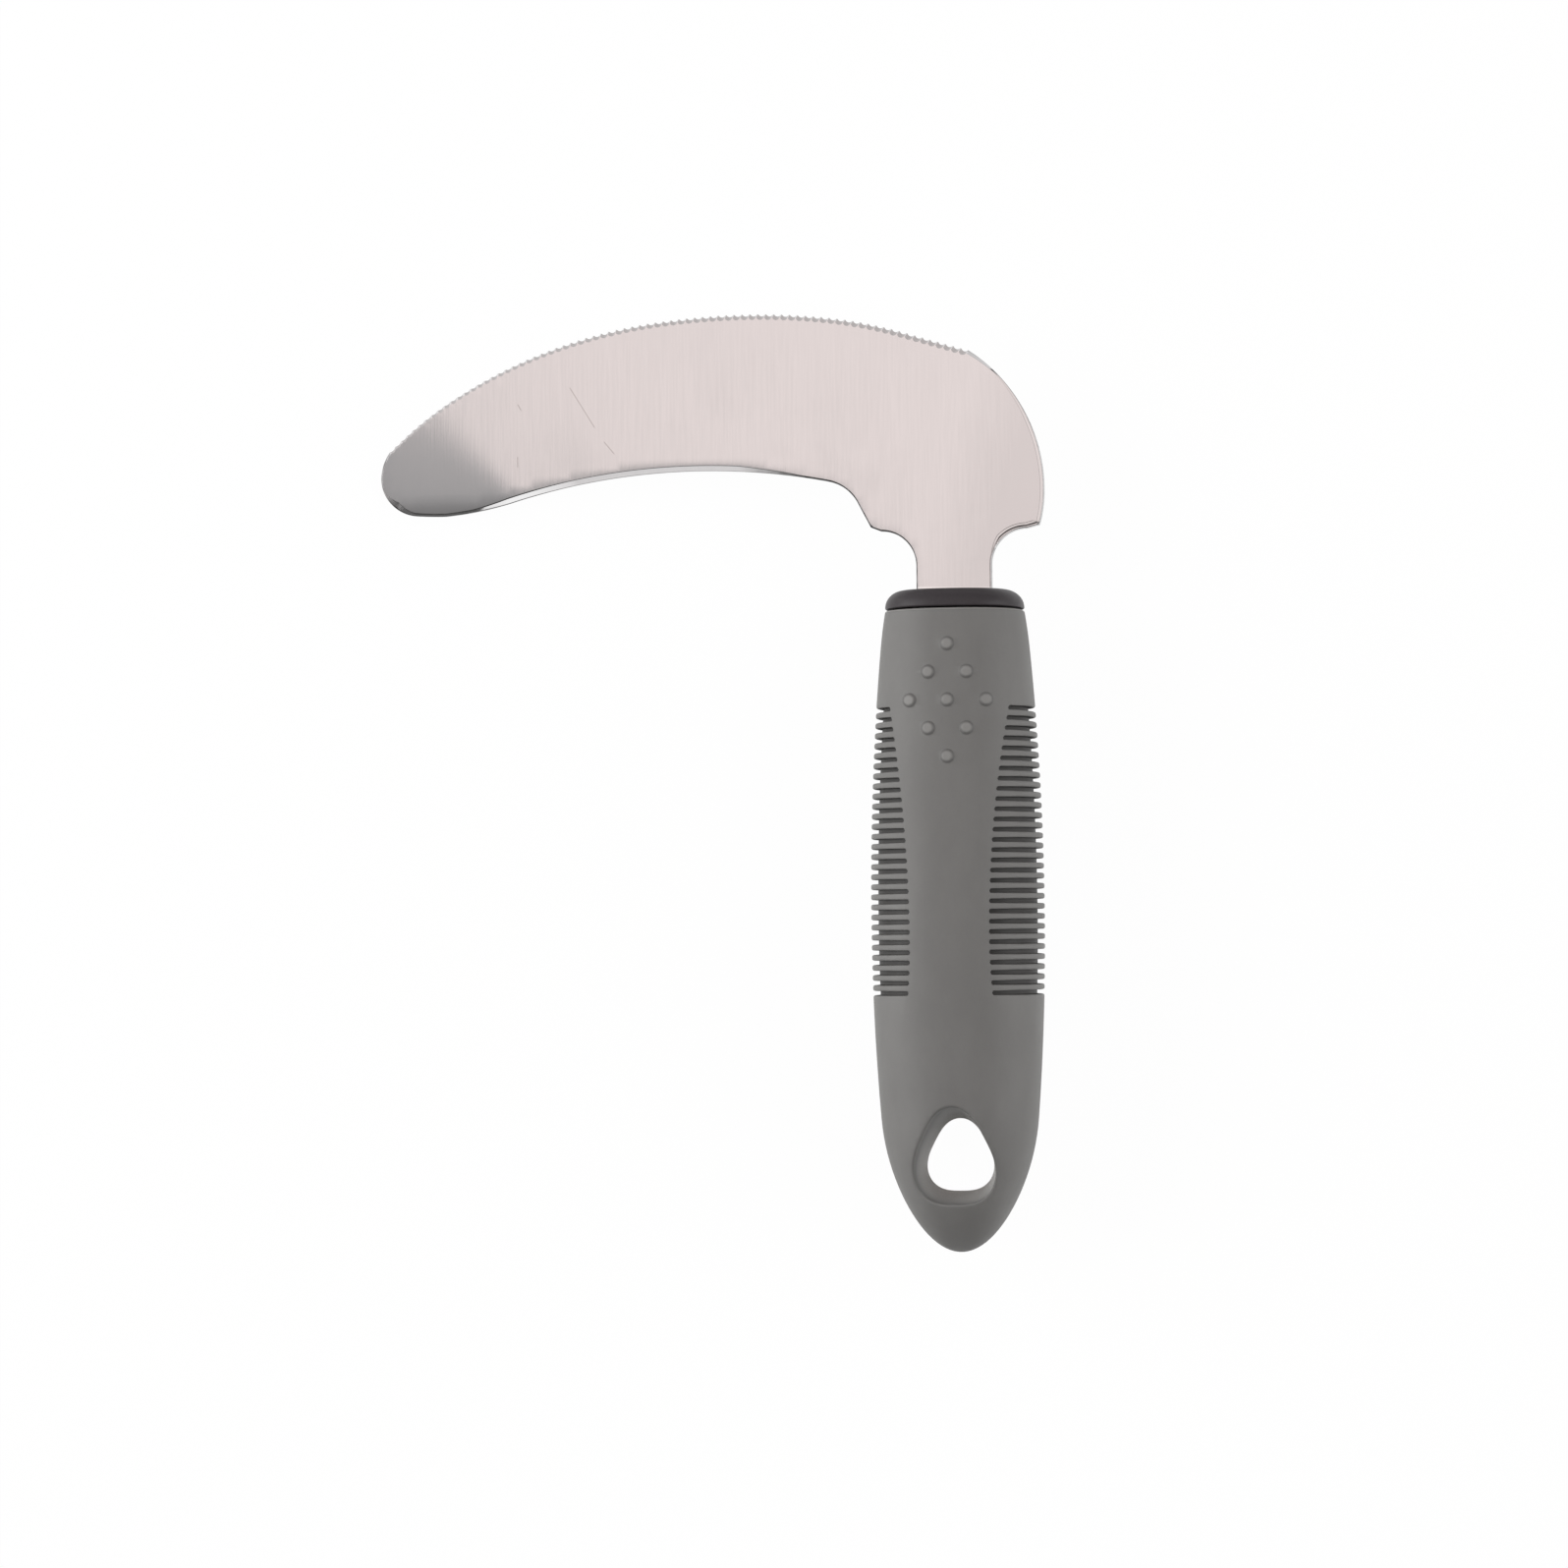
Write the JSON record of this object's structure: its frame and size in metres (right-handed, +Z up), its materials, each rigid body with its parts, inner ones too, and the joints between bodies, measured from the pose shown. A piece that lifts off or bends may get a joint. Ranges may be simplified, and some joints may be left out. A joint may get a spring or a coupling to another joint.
{
  "type": "adaptive table knife",
  "caption": "Table knife for weak or stiff hands: a curved serrated blade set square across a thick ribbed soft grip with a hang hole.",
  "frame": {"origin": "centre of the footprint on the table, with the knife lying at rest on the belly of the grip and the nose of the blade", "axes": "+Y along the handle towards the blade, -X towards the nose of the blade, +Z up out of the front face"},
  "size_m": [0.1212, 0.1696, 0.0308],
  "materials": {
    "steel": "fine brushed stainless, grain along the handle, light scratches",
    "core_plastic": "satin near-black moulded plastic",
    "soft_grip": "matt mid-grey soft-touch elastomer"
  },
  "bodies": {
    "root": {"blade": "steel", "core": "core_plastic", "grip": "soft_grip"}
  },
  "joints": []
}
